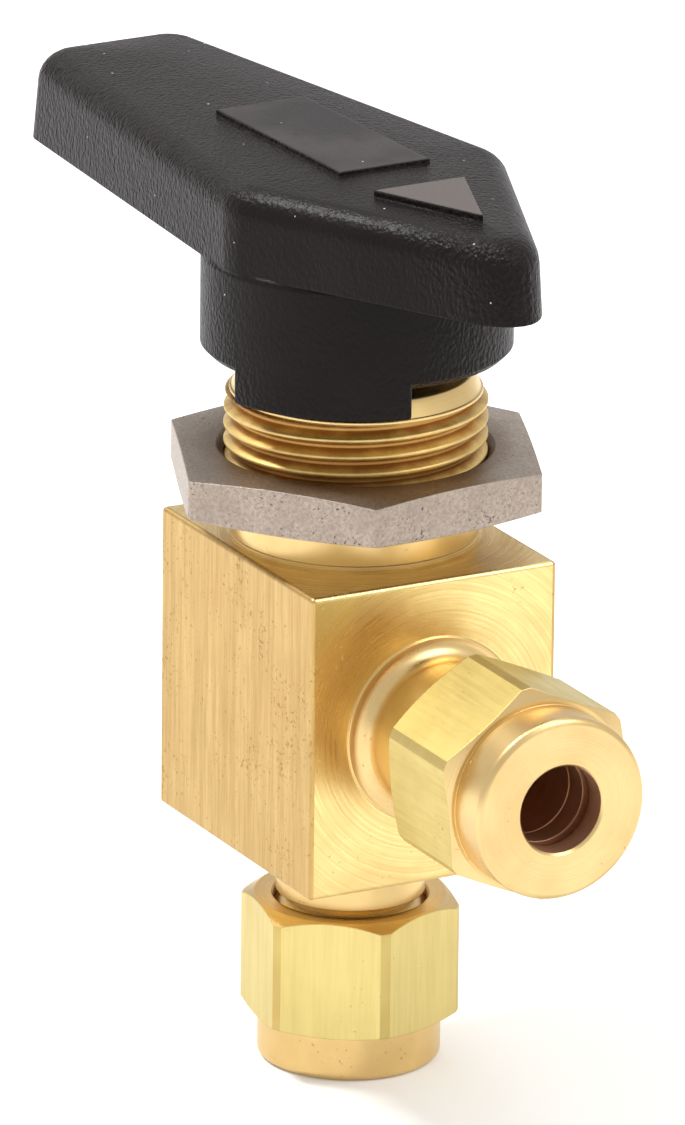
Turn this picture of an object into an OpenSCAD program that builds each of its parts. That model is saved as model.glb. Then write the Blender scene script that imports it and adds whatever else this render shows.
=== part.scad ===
// Quarter-turn angle valve with compression ends: brass block, panel neck,
// lever handle, one tube fitting along -Z and one along +X.
// Origin: centre of the bottom fitting's outer end face. +Z is the stem axis.

/* [Block] */
// Stem axis to the block's back face
block_back = 11.3; // [10:0.1:16]
// Stem axis to the side port face
block_front = 12.35; // [10.8:0.05:18]
// Width of the block across the ports
block_w = 19.8; // [17.5:0.1:28]
// Height of the block
block_h = 22.8; // [20:0.1:30]
// Height of the side port axis over the block's underside
port_h = 11.6; // [10.2:0.1:14]
// Chamfer on every block edge
block_edge = 0.35; // [0.1:0.05:0.8]

/* [Panel neck] */
// Major diameter of the panel thread
panel_thread_d = 19.05; // [18:0.05:24]
// Pitch of the panel thread and of the fitting threads
pitch = 1.27; // [0.8:0.01:1.6]
// Height of the neck over the block
neck_h = 11.6; // [10:0.1:16]
// Diameter of the plain relief under the thread
relief_d = 17.8; // [17:0.1:18.5]
// Height of that relief
relief_h = 3; // [1:0.1:4]
// Outside diameter of the plain collar over the thread
collar_d = 18.3; // [17.4:0.1:19]
// Height of the cone on the neck's top, over the handle's lugs' rim
hub_rise = 0.9; // [0.5:0.1:1.2]
// How much the cone narrows on each side
hub_taper = 0.75; // [0.4:0.05:0.9]

/* [Panel nut] */
// Panel nut across flats
panel_nut_af = 25.4; // [23.5:0.1:32]
// Panel nut thickness
panel_nut_t = 3.4; // [2.4:0.1:5]
// Slope of the panel nut's corner chamfers, in degrees
panel_nut_slope = 8; // [5:1:30]
// Underside of the panel nut over the block's top
panel_nut_gap = 3.3; // [1:0.05:3.6]
// Turn of the panel nut about the stem axis
panel_nut_turn = 38; // [0:1:59]

/* [Tube fittings] */
// Diameter of the tube that the fittings hold
tube_d = 6.35; // [5.5:0.05:7]
// Major diameter of the fitting thread
fit_thread_d = 11.11; // [10.6:0.01:12]
// Tube nut across flats
tube_nut_af = 14.29; // [13.6:0.01:17]
// Tube nut length
tube_nut_l = 12.4; // [11.8:0.1:15]
// Length of the plain round end of the tube nut
nut_end_l = 3.4; // [2:0.1:4.2]
// Diameter of that round end
nut_end_d = 13.4; // [12.4:0.1:13.6]
// Neck that shows between the block and the bottom nut
bottom_gap = 4.8; // [4:0.1:8]
// Neck that shows between the block and the side nut
side_gap = 6.75; // [4:0.05:9]
// Diameter of the neck that shows
neck_d = 10.9; // [10:0.1:11]
// Turn of the bottom tube nut about its axis
bottom_nut_turn = 51; // [0:1:59]
// Turn of the side tube nut about its axis
side_nut_turn = 6.6; // [0:0.1:59]

/* [Flow path] */
// Diameter of the flow passage
orifice_d = 4; // [3:0.1:4.2]
// Diameter of the ball
ball_d = 9.5; // [8.6:0.1:9.6]
// Diameter of the packing cavity
cavity_d = 11.2; // [11:0.1:11.6]
// Diameter of the stem
stem_d = 5.6; // [4.6:0.05:5.8]
// Width over the stem's two flats
stem_flat_w = 4.2; // [3.6:0.1:4.4]
// Packing bolt thread diameter
bolt_thread_d = 12.7; // [12.2:0.05:12.8]

/* [Handle] */
// Stem axis to the lever's end
lever_l = 38.9; // [28:0.1:50]
// Stem axis to the pointer's tip
pointer_l = 22.5; // [19:0.1:28]
// Width of the lever at its end
lever_w = 13.4; // [11:0.1:18]
// Width of the handle across the stem axis
hub_w = 22.6; // [20:0.1:24]
// Diameter of the skirt
skirt_d = 22.54; // [21:0.02:24]
// Clear height from the neck's top to the skirt's rim
skirt_gap = 2.45; // [2.2:0.05:4]
// Clear height from the neck's top to the stop lugs
lug_gap = 0.25; // [0.1:0.05:0.6]
// Height of the skirt under the lever
skirt_h = 7.4; // [6:0.1:10]
// Thickness of the lever
lever_t = 6.3; // [5:0.1:10]
// Fall of the lever's underside towards its end
lever_fall = 0.6; // [0:0.1:2]
// Angle that each stop lug covers
lug_span = 71.7; // [60:0.1:76]
// Radius of the edge round the handle's top
top_r = 1.8; // [0.6:0.1:2.2]
// Sideways slope of the handle's flanks
draft = 0.12; // [0:0.01:0.2]
// Rise of the handle's crowned top over its edges
crown = 0.45; // [0:0.05:1]
// Height of the raised arrow and plate over the crown
relief_t = 0.3; // [0.1:0.05:0.8]
// Width of the raised arrow and plate
relief_w = 7.4; // [4:0.1:10]
// Turn of the handle away from the open stop, at rest
rest_turn = 2; // [0:0.5:90]

/* [Fits] */
// Radial running clearance of turning pieces
run_gap = 0.05; // [0.02:0.01:0.08]
// Clearance between pieces that only sit together
seat_gap = 0.05; // [0.02:0.01:0.1]
// Radial clearance that stands for meshed threads
thread_gap = 0.06; // [0.02:0.01:0.1]

/* [Hidden] */
$fn = 96;
HULL_FN = 32;
EPS = 0.01;

// Heights along the stem axis
block_z0 = tube_nut_l + bottom_gap;
block_z1 = block_z0 + block_h;
port_z = block_z0 + port_h;
neck_z1 = block_z1 + neck_h;
hub_z1 = neck_z1 + hub_rise;
panel_nut_z = block_z1 + panel_nut_gap;
skirt_z = neck_z1 + skirt_gap;
lug_z = neck_z1 + lug_gap;
lever_z = skirt_z + skirt_h;
top_z = lever_z + lever_t;
// Side fitting, along X
side_nut_x = block_front + side_gap;

// Thread form
thread_h = 0.613 * pitch;
panel_r = panel_thread_d / 2;
fit_r = fit_thread_d / 2;
neck_r = neck_d / 2;
collar_h = 0.9;
collar_rim = 0.25;
hub_r = collar_d / 2 - hub_taper;
boss_r = neck_r + 1.2;
boss_h = 0.5;

// Fitting, measured outwards from the nut's mouth
tube_r = tube_d / 2;
socket_r = tube_r + 0.03;
neck_in = 6;
tube_stop = -3;
cone_r = 4.3;
ferrule_z = 4.6;
front_l = 3.6;
back_l = 1.9;
shoulder_z = 9.9;
nut_bore_r = fit_r + thread_gap;
nut_round = 1.126;

// Packing stack
orifice_r = orifice_d / 2;
ball_r = ball_d / 2;
pocket_r = ball_r + run_gap;
cavity_r = cavity_d / 2;
stack_r = cavity_r - seat_gap;
stem_r = stem_d / 2;
bolt_r = bolt_thread_d / 2;
floor_wall = 1.45;
cavity_z = port_z - ball_r - floor_wall;
packing_top = port_z + ball_r + floor_wall;
gland_t = 1;
spring_t = 0.4;
spring_h = 0.85;
lower_gland_z = packing_top + seat_gap;
spring_z = lower_gland_z + gland_t + seat_gap;
upper_gland_z = spring_z + 2 * spring_h + 2 * seat_gap;
sleeve_z = upper_gland_z + gland_t + seat_gap;
bolt_l = 6.8;
bolt_sink = 0.25;
bolt_z1 = neck_z1 - bolt_sink;
bolt_z = bolt_z1 - bolt_l;
sleeve_z1 = bolt_z - seat_gap;
stem_hole_r = stem_r + run_gap;
bearing_r = stem_hole_r + 0.8;
bearing_lip = 1.2;

// Seat rings in the ports
seat_ring_r = orifice_r + 0.6;
seat_ring_clear = 0.12;
seat_ring_sink = 0.8;

// Stops: a raised sector on the neck between the handle's inner lugs
travel = 90;
stop_span = 180 - lug_span - travel;
stop_r0 = bolt_r + 0.2;
stop_r1 = hub_r - 0.1;
lug_r0 = stop_r0 - 0.1;
lug_r1 = collar_d / 2 + 0.1;
stop_top_gap = 0.25;
stop_side = stop_span / 2 + lug_span / 2;
lug_mid = -45;

// Handle
insert_r = 5.4;
insert_z = skirt_z + 1.4;
insert_top = 2.2;
insert_z1 = top_z - insert_top;
stem_top = insert_z1 - 0.6;
flat_z = insert_z - 0.8;
skirt_wall = 2.2;
skirt_cavity_h = insert_z - skirt_z - 0.2;
stop_top = skirt_z + skirt_cavity_h - stop_top_gap;
corner_r = 4;
end_corner_r = 3;
tip_r = 3.4;
bend_x = 0.8;
tip_rise = 0.5;
arrow_x0 = pointer_l - 13.9;
arrow_x1 = pointer_l - 5;
plate_x0 = 24.6 - lever_l;
plate_x1 = bend_x + 2.9;
crown_r = 2;
screw_r = 1.5;
screw_l = 6;
screw_socket_r = 0.85;
screw_socket_l = 1.5;
screw_turn = 90;
screw_z = skirt_z + 4.6;

// ---- shared shapes ----

// Outline of a threaded rod's profile: V rings of one pitch from z0 to z1
function thread_points(r, h, p, z0, z1) =
    let (n = floor((z1 - z0) / p), s = (z1 - z0) / n)
    [for (i = [0:n - 1]) each [[r - h, z0 + i * s + 0.1 * s], [r, z0 + (i + 0.44) * s],
                               [r, z0 + (i + 0.56) * s], [r - h, z0 + (i + 0.9) * s]]];

// Ring with a square section
module ring(r_in, r_out, h) {
    difference() {
        cylinder(r = r_out, h = h);
        translate([0, 0, -EPS]) cylinder(r = r_in, h = h + 2 * EPS);
    }
}

// Sector of a ring, centred on angle a
module sector(r_in, r_out, h, a, span) {
    rotate([0, 0, a - span / 2]) rotate_extrude(angle = span)
        translate([r_in, 0]) square([r_out - r_in, h]);
}

// Hexagonal prism with conical chamfers at the ends that are asked for
module hex_bar(af, h, r_corner, low, high, slope = 30) {
    fall = tan(slope);
    flat_r = af / 2 - 0.15;
    rise = (r_corner - flat_r) * fall;
    z_low = low ? rise : 0;
    z_high = high ? h - rise : h;
    r_low = low ? flat_r : r_corner;
    r_high = high ? flat_r : r_corner;
    intersection() {
        cylinder(d = af / cos(30), h = h, $fn = 6);
        rotate_extrude() polygon([[0, 0], [r_low, 0], [r_corner, z_low],
                                  [r_corner, z_high], [r_high, h], [0, h]]);
    }
}

// ---- body ----

// Block with a small chamfer on all twelve edges
module block() {
    l = block_back + block_front;
    e = block_edge;
    module plate(a, b, h) {
        linear_extrude(h) polygon([[e, 0], [a - e, 0], [a, e], [a, b - e], [a - e, b], [e, b],
                                   [0, b - e], [0, e]]);
    }
    translate([-block_back, -block_w / 2, block_z0]) intersection() {
        plate(l, block_w, block_h);
        translate([0, block_w, 0]) rotate([90, 0, 0]) plate(l, block_h, block_w);
        multmatrix([[0, 0, 1, 0], [1, 0, 0, 0], [0, 1, 0, 0], [0, 0, 0, 1]])
            plate(block_w, block_h, l);
    }
}

// Panel neck: relief, thread and plain collar
module panel_neck() {
    z0 = block_z1 - 1;
    zt = block_z1 + relief_h;
    zc = neck_z1 - collar_h;
    cr = collar_d / 2;
    rotate_extrude() polygon(concat(
        [[0, z0], [relief_d / 2, z0], [relief_d / 2, zt]],
        thread_points(panel_r, thread_h, pitch, zt, zc),
        [[panel_r - thread_h, zc], [cr, zc + 0.2], [cr, zc + 0.2 + collar_rim],
         [hub_r, hub_z1], [0, hub_z1]]));
}

// Neck of a tube fitting; z = 0 at the block face, nut mouth at z = gap
module fitting_neck(gap) {
    end = gap + neck_in;
    fillet = 0.9;
    start = gap - 0.4;
    rotate_extrude() polygon(concat(
        [[0, -1], [boss_r, -1], [boss_r, boss_h]],
        [for (a = [0:15:90]) [neck_r + fillet * (1 - sin(a)), boss_h + fillet * (1 - cos(a))]],
        [[neck_r, start]],
        thread_points(fit_r, thread_h, pitch, start, end - 0.5),
        [[fit_r - thread_h, end], [0, end]]));
}

// Bore of a tube fitting: ferrule cone, tube socket and flow passage
module fitting_bore(gap, depth) {
    end = gap + neck_in;
    stop = gap + tube_stop;
    translate([0, 0, -depth]) cylinder(r = orifice_r, h = depth + stop + EPS);
    translate([0, 0, stop]) cylinder(r = socket_r, h = end - stop + EPS);
    cone_l = (cone_r - socket_r) / tan(12);
    reach = min(cone_l, neck_in - 1);
    translate([0, 0, end - reach]) cylinder(r1 = socket_r, r2 = cone_r, h = reach);
    translate([0, 0, end - EPS]) cylinder(r = cone_r, h = 1);
}

module place_bottom() {
    translate([0, 0, block_z0]) rotate([180, 0, 0]) children();
}

module place_side() {
    translate([block_front, 0, port_z]) rotate([0, 90, 0]) children();
}

module valve_body() color([0.86, 0.7, 0.38]) difference() {
    union() {
        block();
        panel_neck();
        place_bottom() fitting_neck(bottom_gap);
        place_side() fitting_neck(side_gap);
        for (a = [0, 180])
            translate([0, 0, hub_z1 - 1])
                sector(stop_r0, stop_r1, stop_top - hub_z1 + 1, a + lug_mid - stop_side, stop_span);
    }
    place_bottom() fitting_bore(bottom_gap, cavity_z - block_z0 + EPS);
    place_side() fitting_bore(side_gap, block_front);
    translate([0, 0, port_z]) rotate([0, 90, 0])
        cylinder(r = seat_ring_r + seat_gap, h = cavity_r + seat_ring_sink);
    translate([0, 0, cavity_z]) cylinder(r = cavity_r, h = stop_top);
    translate([0, 0, bolt_z - 1]) cylinder(r = bolt_r + seat_gap, h = stop_top);
}

// ---- internals ----

module ball_stem() color([0.72, 0.73, 0.74]) rotate([0, 0, rest_turn]) difference() {
    union() {
        translate([0, 0, port_z]) sphere(r = ball_r);
        translate([0, 0, port_z]) cylinder(r = stem_r, h = stem_top - port_z);
    }
    translate([0, 0, port_z - ball_r - 1]) cylinder(r = orifice_r, h = ball_r + 1);
    translate([0, 0, port_z]) sphere(r = orifice_r);
    translate([0, 0, port_z]) rotate([0, 90, 0]) cylinder(r = orifice_r, h = ball_r + 1);
    for (s = [-1, 1])
        translate([-stem_d, s * (stem_flat_w / 2 + stem_d) - stem_d, flat_z])
            cube([2 * stem_d, 2 * stem_d, stem_top]);
}

// Packing half, with its share of the pocket and of the side port
module packing_half(z0, z1, hole_r) {
    difference() {
        translate([0, 0, z0]) cylinder(r = stack_r, h = z1 - z0);
        translate([0, 0, port_z]) sphere(r = pocket_r);
        translate([0, 0, z0 - EPS]) cylinder(r = hole_r, h = z1 - z0 + 2 * EPS);
        translate([0, 0, port_z]) rotate([0, 90, 0])
            cylinder(r = seat_ring_r + seat_gap, h = cavity_r);
    }
}

module lower_packing() color("white") difference() {
    packing_half(cavity_z, port_z - seat_gap / 2, orifice_r);
    translate([0, 0, cavity_z - EPS])
        cylinder(r = seat_ring_r + seat_gap, h = floor_wall + EPS);
}

module upper_packing() color("white")
    packing_half(port_z + seat_gap / 2, packing_top, stem_hole_r);

module bottom_seat_ring() color("silver") translate([0, 0, cavity_z])
    ring(orifice_r, seat_ring_r, floor_wall - seat_ring_clear);

module side_seat_ring() color("silver")
    translate([ball_r + seat_ring_clear, 0, port_z]) rotate([0, 90, 0])
        ring(orifice_r, seat_ring_r, cavity_r + seat_ring_sink - ball_r - seat_ring_clear - seat_gap);

module lower_gland() color("silver") translate([0, 0, lower_gland_z])
    ring(stem_hole_r, stack_r, gland_t);

// Two cone springs, rim to rim
module disc_springs() color("silver") {
    rise = spring_h - spring_t;
    r0 = stem_hole_r + 0.15;
    r1 = stack_r - 0.1;
    for (side = [0, 1])
        translate([0, 0, spring_z + side * (2 * spring_h + seat_gap)])
            mirror([0, 0, side]) rotate_extrude()
                polygon([[r0, 0], [r1, rise], [r1, spring_h], [r0, spring_t]]);
}

module upper_gland() color("silver") translate([0, 0, upper_gland_z])
    ring(stem_hole_r, stack_r, gland_t);

module gland_sleeve() color("gold") translate([0, 0, sleeve_z])
    ring(stem_hole_r, stack_r, sleeve_z1 - sleeve_z);

module stem_bearing() color("ivory") translate([0, 0, bolt_z])
    ring(stem_hole_r, bearing_r, bolt_l - bearing_lip - seat_gap);

module packing_bolt() color([0.86, 0.7, 0.38]) difference() {
    translate([0, 0, bolt_z]) cylinder(r = bolt_r, h = bolt_l);
    translate([0, 0, bolt_z - EPS]) cylinder(r = stem_hole_r + 0.1, h = bolt_l + 1);
    translate([0, 0, bolt_z - EPS]) cylinder(r = bearing_r + seat_gap, h = bolt_l - bearing_lip);
    for (a = [0, 180]) rotate([0, 0, a])
        translate([(bearing_r + bolt_r) / 2 + 0.2, 0, bolt_z1 - 2]) cylinder(r = 0.7, h = 3);
}

// ---- panel nut ----

module panel_nut() color([0.66, 0.6, 0.56]) difference() {
    translate([0, 0, panel_nut_z]) rotate([0, 0, panel_nut_turn])
        hex_bar(panel_nut_af, panel_nut_t, panel_nut_af / sqrt(3) - 0.05, true, true,
                panel_nut_slope);
    translate([0, 0, panel_nut_z - 1]) cylinder(r = panel_r + thread_gap, h = panel_nut_t + 2);
    lead = 0.5;
    translate([0, 0, panel_nut_z + panel_nut_t - lead])
        cylinder(r1 = panel_r + thread_gap, r2 = panel_r + thread_gap + lead, h = lead + EPS);
}

// ---- tube nut and ferrules; z = 0 at the nut's mouth, +z outwards ----

module tube_nut(turn) {
    hex_l = tube_nut_l - nut_end_l;
    difference() {
        union() {
            rotate([0, 0, turn])
                hex_bar(tube_nut_af, hex_l, tube_nut_af / 2 * nut_round, true, true);
            translate([0, 0, hex_l - 1.2]) cylinder(d = nut_end_d - 0.4, h = 1.5);
            translate([0, 0, hex_l]) cylinder(d = nut_end_d, h = nut_end_l - 0.3);
            translate([0, 0, tube_nut_l - 0.3])
                cylinder(d1 = nut_end_d, d2 = nut_end_d - 0.6, h = 0.3);
        }
        translate([0, 0, -1]) cylinder(r = nut_bore_r, h = shoulder_z - 1.4 + 1);
        translate([0, 0, shoulder_z - 1.4 - EPS])
            cylinder(r1 = nut_bore_r, r2 = socket_r + 1, h = 1.4 + EPS);
        translate([0, 0, shoulder_z - EPS])
            cylinder(r1 = socket_r + 1, r2 = socket_r, h = 0.5);
        cylinder(r = socket_r, h = tube_nut_l + 1);
        lead = 0.18;
        translate([0, 0, -EPS])
            cylinder(r1 = nut_bore_r + lead, r2 = nut_bore_r, h = lead);
        translate([0, 0, tube_nut_l - lead])
            cylinder(r1 = socket_r, r2 = socket_r + lead, h = lead + EPS);
    }
}

module front_ferrule() {
    rim = cone_r + 0.25;
    difference() {
        translate([0, 0, ferrule_z]) rotate_extrude()
            polygon([[socket_r, 0], [socket_r + 0.25, 0], [cone_r - 0.35, neck_in - ferrule_z + 0.1],
                     [rim, neck_in - ferrule_z + 0.3], [rim, front_l], [socket_r, front_l]]);
        translate([0, 0, ferrule_z + front_l - 0.7])
            cylinder(r1 = socket_r - EPS, r2 = socket_r + 0.8, h = 0.7 + EPS);
    }
}

module back_ferrule() {
    z0 = ferrule_z + front_l - 0.55;
    translate([0, 0, z0]) rotate_extrude()
        polygon([[socket_r, 0], [socket_r + 0.12, 0], [socket_r + 0.62, 0.6],
                 [socket_r + 0.95, 0.75], [socket_r + 0.95, back_l], [socket_r, back_l]]);
}

module at_bottom_nut() translate([0, 0, tube_nut_l]) rotate([180, 0, 0]) children();
module at_side_nut() translate([side_nut_x, 0, port_z]) rotate([0, 90, 0]) children();

module bottom_tube_nut() color([0.95, 0.82, 0.45]) at_bottom_nut() tube_nut(-bottom_nut_turn);
module bottom_front_ferrule() color("gold") at_bottom_nut() front_ferrule();
module bottom_back_ferrule() color("orange") at_bottom_nut() back_ferrule();
module side_tube_nut() color([0.95, 0.82, 0.45]) at_side_nut() tube_nut(side_nut_turn);
module side_front_ferrule() color("gold") at_side_nut() front_ferrule();
module side_back_ferrule() color("orange") at_side_nut() back_ferrule();

// ---- handle ----

// One corner post of the handle's slab: sloped side and round top edge
module corner_post(x, y, r, z0, shift) {
    flank = (top_z - top_r - z0) * draft;
    rr = max(r - flank, top_r + 0.1);
    translate([x, y, z0]) cylinder(r = r, h = 0.2);
    translate([x + shift, y, 0]) rotate_extrude($fn = HULL_FN)
        polygon(concat([[0, top_z - top_r - 0.2], [rr, top_z - top_r - 0.2]],
            [for (a = [0:18:90]) [rr - top_r + top_r * cos(a), top_z - top_r + top_r * sin(a)]],
            [[0, top_z]]));
}

// Lever and pointer in one slab
module slab() {
    lever_x = end_corner_r - lever_l;
    hull() for (s = [-1, 1]) {
        corner_post(lever_x, s * (lever_w / 2 - end_corner_r), end_corner_r,
                    lever_z - lever_fall, 1.2, $fn = HULL_FN);
        corner_post(bend_x, s * (hub_w / 2 - corner_r), corner_r, lever_z, 0, $fn = HULL_FN);
        corner_post(pointer_l - tip_r, 0, tip_r, lever_z + tip_rise, 0, $fn = HULL_FN);
        for (x = [plate_x0, arrow_x0])
            translate([x, 0, top_z]) cylinder(r = crown_r, h = crown, $fn = HULL_FN);
    }
}

// Flow arrow and plain plate that stand out of the handle's top
module top_relief() {
    translate([0, 0, top_z - 1]) linear_extrude(1 + crown + relief_t) {
        polygon([[arrow_x0, -relief_w / 2], [arrow_x1, 0], [arrow_x0, relief_w / 2]]);
        translate([plate_x0, -relief_w / 2]) square([plate_x1 - plate_x0, relief_w]);
    }
}

module handle() color([0.16, 0.15, 0.15]) rotate([0, 0, rest_turn]) difference() {
    union() {
        slab();
        top_relief();
        translate([0, 0, skirt_z]) rotate_extrude() polygon([[0, 0], [skirt_d / 2 - 0.5, 0],
            [skirt_d / 2, 0.5], [skirt_d / 2, skirt_h + 1.5], [0, skirt_h + 1.5]]);
        for (a = [0, 180])
            translate([0, 0, lug_z])
                sector(lug_r1, skirt_d / 2, skirt_z - lug_z + 1, a + lug_mid, lug_span);
    }
    difference() {
        translate([0, 0, skirt_z - EPS])
            cylinder(r = skirt_d / 2 - skirt_wall, h = skirt_cavity_h + EPS);
        for (a = [0, 180])
            translate([0, 0, skirt_z - 1])
                sector(lug_r0, skirt_d, skirt_cavity_h + 2, a + lug_mid, lug_span);
    }
    translate([0, 0, insert_z - 1]) cylinder(r = insert_r, h = insert_z1 - insert_z + 1);
    screw_hole(skirt_d);
}

// Radial hole for the set screw
module screw_hole(l) {
    rotate([0, 0, screw_turn]) translate([0, 0, screw_z]) rotate([0, 90, 0])
        cylinder(r = screw_r, h = l);
}

module handle_insert() color("gold") rotate([0, 0, rest_turn]) difference() {
    translate([0, 0, insert_z]) cylinder(r = insert_r, h = insert_z1 - insert_z);
    intersection() {
        translate([0, 0, insert_z - 1]) cylinder(r = stem_r + run_gap, h = stem_top - insert_z + 1.1);
        translate([-stem_d, -stem_flat_w / 2 - run_gap, insert_z - 1])
            cube([2 * stem_d, stem_flat_w + 2 * run_gap, stem_top]);
    }
    screw_hole(insert_r + 1);
}

module handle_set_screw() color("dimgray") rotate([0, 0, rest_turn + screw_turn])
    translate([stem_flat_w / 2 + seat_gap, 0, screw_z]) rotate([0, 90, 0]) difference() {
        cylinder(r = screw_r - seat_gap, h = screw_l);
        translate([0, 0, screw_l - screw_socket_l])
            cylinder(r = screw_socket_r, h = screw_l, $fn = 6);
    }

valve_body();
panel_nut();
handle();
handle_insert();
handle_set_screw();
ball_stem();
lower_packing();
upper_packing();
bottom_seat_ring();
side_seat_ring();
lower_gland();
disc_springs();
upper_gland();
gland_sleeve();
stem_bearing();
packing_bolt();
bottom_tube_nut();
bottom_front_ferrule();
bottom_back_ferrule();
side_tube_nut();
side_front_ferrule();
side_back_ferrule();
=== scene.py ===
"""Visual model of a quarter-turn angle valve with two compression ends.

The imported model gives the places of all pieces. The pieces that show most are
modelled anew here, in millimetres, and set down in metres in the same frame:
+Z is the stem axis, the bottom fitting's end face is at Z = 0 and the side
fitting points along +X.
"""

import logging
import math
from collections.abc import Callable, Iterable, Sequence
from dataclasses import dataclass, field
from enum import Enum

import bmesh
import bpy
from bmesh.types import BMEdge, BMesh, BMFace, BMVert
from bpy.types import Material, Node, NodeSocket, NodeTree, Object
from mathutils import Matrix, Vector
from mathutils.geometry import intersect_point_line


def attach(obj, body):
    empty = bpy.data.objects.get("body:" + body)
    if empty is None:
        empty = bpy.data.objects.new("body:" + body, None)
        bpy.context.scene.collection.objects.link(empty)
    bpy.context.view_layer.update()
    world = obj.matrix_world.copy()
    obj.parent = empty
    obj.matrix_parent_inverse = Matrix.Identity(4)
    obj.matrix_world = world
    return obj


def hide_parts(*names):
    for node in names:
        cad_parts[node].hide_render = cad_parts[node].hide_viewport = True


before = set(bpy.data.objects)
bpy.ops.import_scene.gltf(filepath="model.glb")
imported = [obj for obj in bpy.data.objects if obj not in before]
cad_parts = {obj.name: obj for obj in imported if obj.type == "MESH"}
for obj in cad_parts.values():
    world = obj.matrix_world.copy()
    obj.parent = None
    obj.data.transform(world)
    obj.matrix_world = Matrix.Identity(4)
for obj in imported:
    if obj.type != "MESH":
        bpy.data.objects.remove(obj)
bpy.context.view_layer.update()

LOG = logging.getLogger("angle_valve")
# One millimetre in metres, and how near points and faces count as the same place, in millimetres
METRE = 0.001
MERGE = 1e-4
NEAR = 0.01
# How far a solid that is added, or a cutter, runs on past the surface it meets, in millimetres
SUNK = 1
Place = tuple[float, float, float]
Colour = tuple[float, float, float]
Number = float | NodeSocket
Paint = Colour | NodeSocket


# ---- bench tools: turning, milling, softening ----


class Axis(Enum):
    """The line that a turned piece or a turned face is made about."""

    STEM = "Z"
    SIDE_PORT = "X"


class Cut(Enum):
    """What a boolean tool does to the piece it meets."""

    ADD = "UNION"
    REMOVE = "DIFFERENCE"


def everything(bm: BMesh) -> list[BMVert | BMEdge | BMFace]:
    """All vertices, edges and faces of a mesh in work, in one list."""
    return [*bm.verts, *bm.edges, *bm.faces]


def face_outwards(bm: BMesh) -> None:
    """Turns every face of a closed solid outwards."""
    bmesh.ops.recalc_face_normals(bm, faces=bm.faces)
    if bm.calc_volume(signed=True) < 0:
        bmesh.ops.reverse_faces(bm, faces=bm.faces)


def turned(outline: Sequence[tuple[float, float]], solid: bool = True, steps: int = 128) -> BMesh:
    """Turns an outline of (radius, height) points about Z, as on a lathe.

    Args:
        outline: the points, in order.
        solid: whether the outline runs on to the axis at both its ends; if not, its ends join.
        steps: the number of faces round the piece.

    Returns:
        The closed mesh, its faces outwards.
    """
    bm = bmesh.new()
    if solid:
        outline = [(0, outline[0][1]), *outline, (0, outline[-1][1])]
    verts = [bm.verts.new((r, 0.0, z)) for r, z in outline]
    ends = verts[1:] if solid else verts[1:] + verts[:1]
    edges = [bm.edges.new(pair) for pair in zip(verts, ends)]
    bmesh.ops.spin(bm, geom=[*verts, *edges], cent=(0, 0, 0), axis=(0, 0, 1),
                   angle=math.tau, steps=steps, use_merge=True)
    bmesh.ops.remove_doubles(bm, verts=bm.verts, dist=MERGE)
    face_outwards(bm)
    return bm


def sector(r_in: float, r_out: float, z0: float, z1: float, middle: float, span: float) -> BMesh:
    """A piece of a square ring.

    Args:
        r_in: inner radius.
        r_out: outer radius.
        z0: underside.
        z1: top.
        middle: the angle at its middle, in degrees.
        span: the angle it covers, in degrees.

    Returns:
        The closed mesh.
    """
    bm = bmesh.new()
    corners = ((r_in, z0), (r_out, z0), (r_out, z1), (r_in, z1))
    face = bm.faces.new([bm.verts.new((r, 0.0, z)) for r, z in corners])
    turn = Matrix.Rotation(math.radians(middle - span / 2), 3, "Z")
    bmesh.ops.rotate(bm, verts=bm.verts, cent=(0, 0, 0), matrix=turn)
    steps = max(4, round(span / 3))
    start = face.copy()
    bmesh.ops.spin(bm, geom=[start, *start.edges, *start.verts], cent=(0, 0, 0), axis=(0, 0, 1),
                   angle=math.radians(span), steps=steps)
    bmesh.ops.remove_doubles(bm, verts=bm.verts, dist=MERGE)
    face_outwards(bm)
    return bm


def threaded(r: float, depth: float, pitch: float, z0: float, z1: float, steps: int = 128) -> BMesh:
    """A rod with a true helical thread, cut square at both ends.

    Args:
        r: crest radius.
        depth: crest to root.
        pitch: rise of one turn.
        z0: low end.
        z1: high end.
        steps: the number of faces in one turn.

    Returns:
        The closed mesh.
    """
    bm = bmesh.new()
    root, rounded = r - depth, r - 0.06
    flanks = ((0.08, root), (0.40, rounded), (0.45, r), (0.55, r), (0.60, rounded), (0.92, root))
    turns = math.ceil((z1 - z0) / pitch) + 2
    line = [bm.verts.new((fr, 0.0, z0 + (turn - 1 + share) * pitch))
            for turn in range(turns) for share, fr in flanks]
    edges = [bm.edges.new(pair) for pair in zip(line, line[1:])]
    bmesh.ops.spin(bm, geom=[*line, *edges], cent=(0, 0, 0), axis=(0, 0, 1),
                   dvec=(0, 0, pitch / steps), angle=math.tau, steps=steps)
    bmesh.ops.remove_doubles(bm, verts=bm.verts, dist=MERGE)
    for z, side in ((z0, -1), (z1, 1)):
        bmesh.ops.bisect_plane(bm, geom=everything(bm), dist=MERGE / 10, plane_co=(0, 0, z),
                               plane_no=(0, 0, side), clear_outer=True)
    bmesh.ops.remove_doubles(bm, verts=bm.verts, dist=MERGE)
    bmesh.ops.holes_fill(bm, edges=[e for e in bm.edges if e.is_boundary])
    face_outwards(bm)
    return bm


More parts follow.
